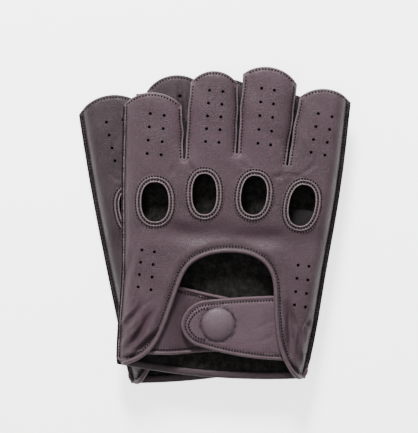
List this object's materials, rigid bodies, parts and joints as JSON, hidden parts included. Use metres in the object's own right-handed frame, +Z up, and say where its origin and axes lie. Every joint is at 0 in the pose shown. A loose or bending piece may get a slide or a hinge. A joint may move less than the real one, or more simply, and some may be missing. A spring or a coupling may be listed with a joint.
{
  "type": "driving gloves",
  "caption": "Pair of fingerless leather driving gloves with knuckle holes, a half-moon wrist opening and a snap strap, laid one on the other.",
  "frame": {"origin": "centre of the pair's footprint, on the surface that it lies on", "axes": "+Y towards the fingers, +Z up from the palm to the back of the hand, +X to the upper glove's thumb side"},
  "size_m": [0.1378, 0.1602, 0.0259],
  "materials": {
    "glove_leather": "smooth dark plum-grey nappa leather, fine grain, soft sheen",
    "binding_leather": "rolled binding of the same leather, a little lighter",
    "palm_leather": "dark leather outside, black suede inside",
    "sidewall_leather": "black soft leather",
    "cap_leather": "leather stretched over a domed cap",
    "suede_lining": "black suede",
    "snap_metal": "dull antique nickelled brass"
  },
  "bodies": {
    "right_strap_body": {"right_strap": "glove_leather", "right_strap_lining": "suede_lining", "right_strap_binding": "binding_leather", "right_snap_cap": "cap_leather", "right_snap_socket": "snap_metal"},
    "right_thumb_body": {"right_thumb_sleeve": "glove_leather"},
    "right_glove": {"right_back_panel": "glove_leather", "right_closure_tab": "glove_leather", "right_index_middle_fourchette": "sidewall_leather", "right_knuckle_ring_index": "glove_leather", "right_knuckle_ring_little": "glove_leather", "right_knuckle_ring_middle": "glove_leather", "right_knuckle_ring_ring": "glove_leather", "right_middle_ring_fourchette": "sidewall_leather", "right_palm_hem_binding": "palm_leather", "right_palm_panel": "palm_leather", "right_ring_little_fourchette": "sidewall_leather", "right_snap_post": "snap_metal", "right_snap_stud": "snap_metal", "right_strap_root": "glove_leather", "right_tab_lower_binding": "binding_leather", "right_tab_upper_binding": "binding_leather", "right_wrist_opening_binding": "binding_leather"},
    "left_strap_body": {"left_strap": "glove_leather", "left_strap_lining": "suede_lining", "left_strap_binding": "binding_leather", "left_snap_cap": "cap_leather", "left_snap_socket": "snap_metal"},
    "left_thumb_body": {"left_thumb_sleeve": "glove_leather"},
    "left_glove": {"left_back_panel": "glove_leather", "left_closure_tab": "glove_leather", "left_index_middle_fourchette": "sidewall_leather", "left_knuckle_ring_index": "glove_leather", "left_knuckle_ring_little": "glove_leather", "left_knuckle_ring_middle": "glove_leather", "left_knuckle_ring_ring": "glove_leather", "left_middle_ring_fourchette": "sidewall_leather", "left_palm_hem_binding": "palm_leather", "left_palm_panel": "palm_leather", "left_ring_little_fourchette": "sidewall_leather", "left_snap_post": "snap_metal", "left_snap_stud": "snap_metal", "left_strap_root": "glove_leather", "left_tab_lower_binding": "binding_leather", "left_tab_upper_binding": "binding_leather", "left_wrist_opening_binding": "binding_leather"}
  },
  "joints": [
    {"name": "glove_lift", "type": "slide", "parent": "right_glove", "child": "left_glove", "axis": [0, 0, 1], "range_m": [0, 0.12]},
    {"name": "left_strap_hinge", "type": "hinge", "parent": "left_glove", "child": "left_strap_body", "pos_m": [0.02726, -0.05064, 0.0216], "axis": [-0.1367, 0.9906, 0], "range_deg": [0, 105]},
    {"name": "right_strap_hinge", "type": "hinge", "parent": "right_glove", "child": "right_strap_body", "pos_m": [-0.02492, -0.0534, 0.0085], "axis": [-0.0795, -0.9968, 0], "range_deg": [0, 105]},
    {"name": "left_thumb_hinge", "type": "hinge", "parent": "left_glove", "child": "left_thumb_body", "pos_m": [0.05387, -0.01111, 0.0131], "axis": [-0.1641, -0.9865, 0], "range_deg": [0, 105]},
    {"name": "right_thumb_hinge", "type": "hinge", "parent": "right_glove", "child": "right_thumb_body", "pos_m": [-0.05134, -0.01514, 0], "axis": [-0.1948, 0.9808, 0], "range_deg": [0, 105]}
  ],
  "couplings": [
    {"joint": "right_strap_hinge", "follows": "glove_lift", "rad_per_m": 15.199},
    {"joint": "left_thumb_hinge", "follows": "glove_lift", "rad_per_m": 15.199}
  ]
}
